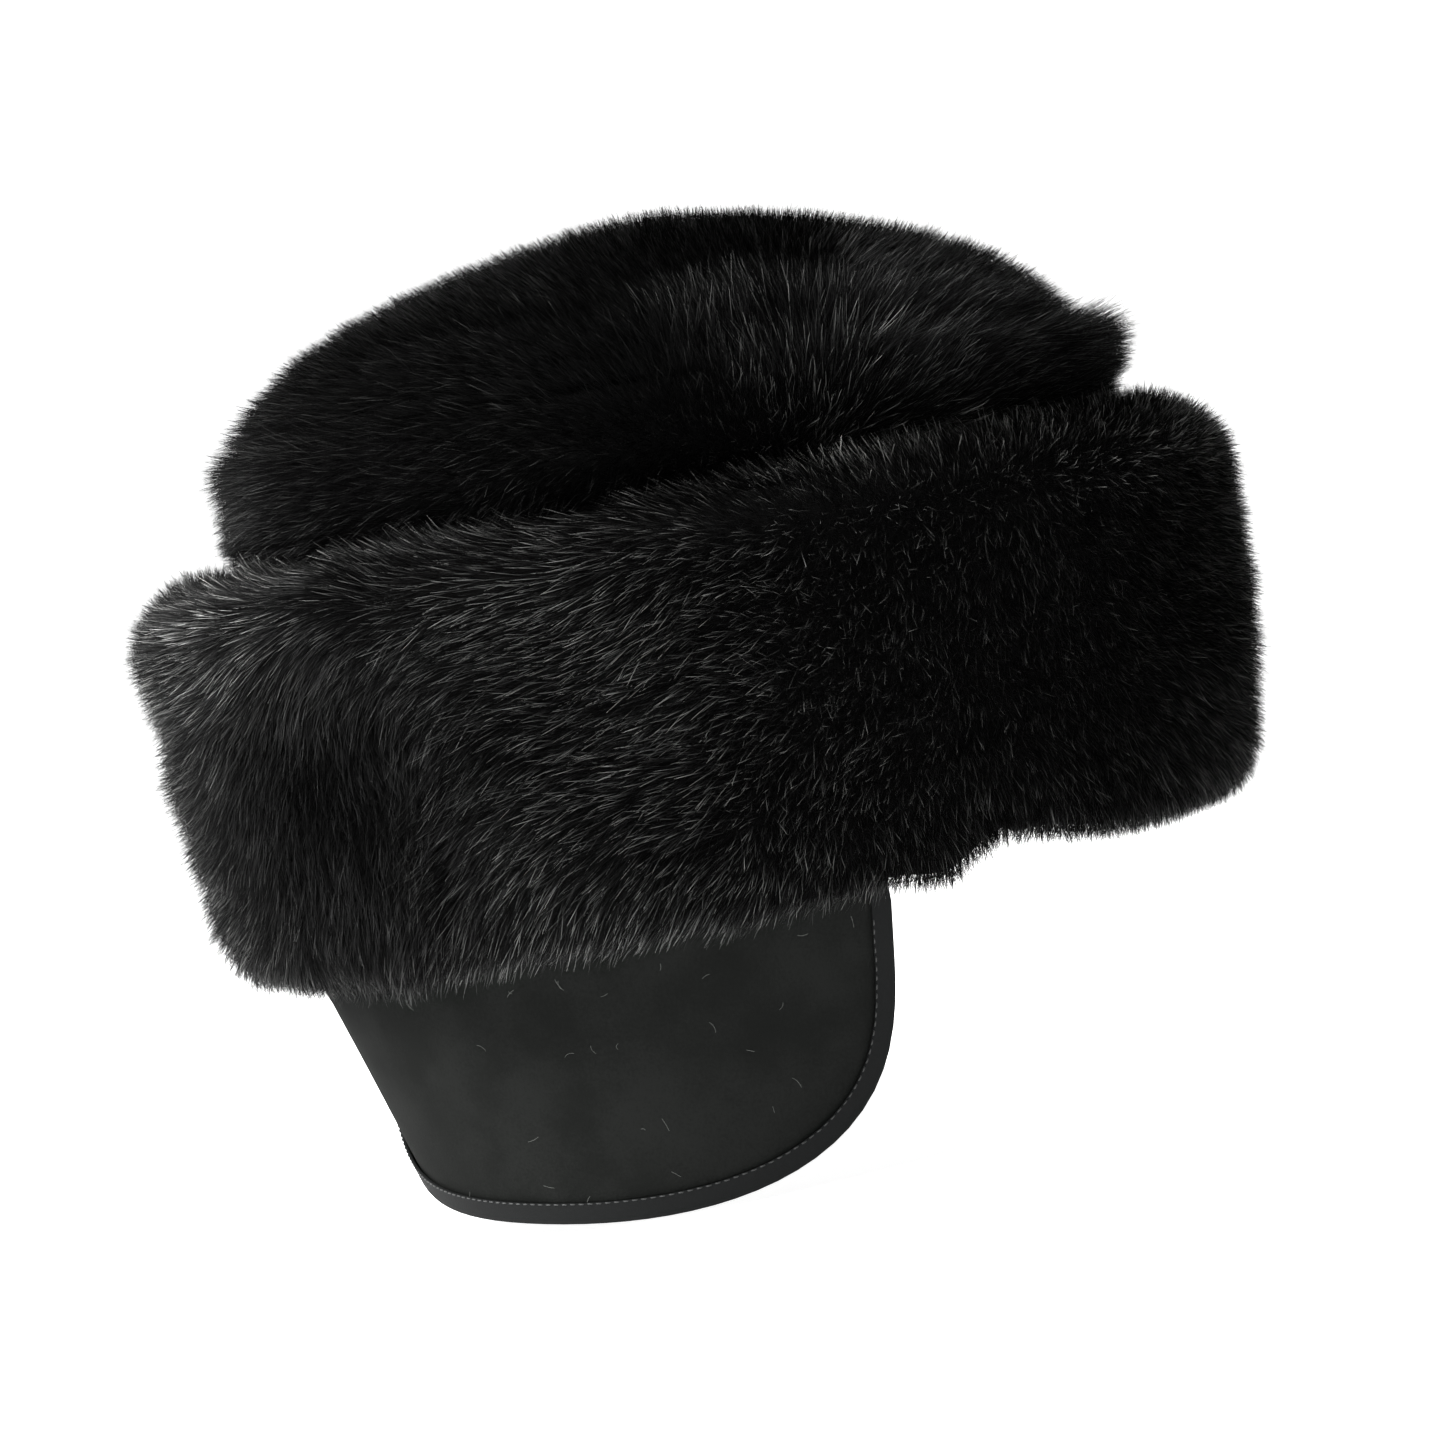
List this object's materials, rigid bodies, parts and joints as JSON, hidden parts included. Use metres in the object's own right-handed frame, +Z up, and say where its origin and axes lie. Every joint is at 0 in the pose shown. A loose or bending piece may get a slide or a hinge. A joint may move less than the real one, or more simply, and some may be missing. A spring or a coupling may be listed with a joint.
{
  "type": "fake fur winter cap with a peak",
  "caption": "Black fake-fur winter cap: soft domed crown in panels, thick turned-up fur cuff all round, and a stiff cloth-covered front peak with a bound, stitched edge.",
  "frame": {"origin": "middle of the oval head opening, in the plane of the cuff's lower edge", "axes": "+Z up through the crown, the peak and the wearer's face towards -Y, +X to the wearer's left"},
  "size_m": [0.2276, 0.2654, 0.2014],
  "materials": {
    "fur": "black acrylic fake fur, dense pile about 10 mm long with a soft sheen",
    "peak_cloth": "charcoal brushed cotton, matt",
    "binding_tape": "black cotton bias tape, matt, folded over the edge and stitched"
  },
  "bodies": {
    "root": {"crown_top": "fur", "crown_side": "fur", "cuff": "fur", "peak": "peak_cloth", "peak_binding": "binding_tape"}
  },
  "joints": []
}
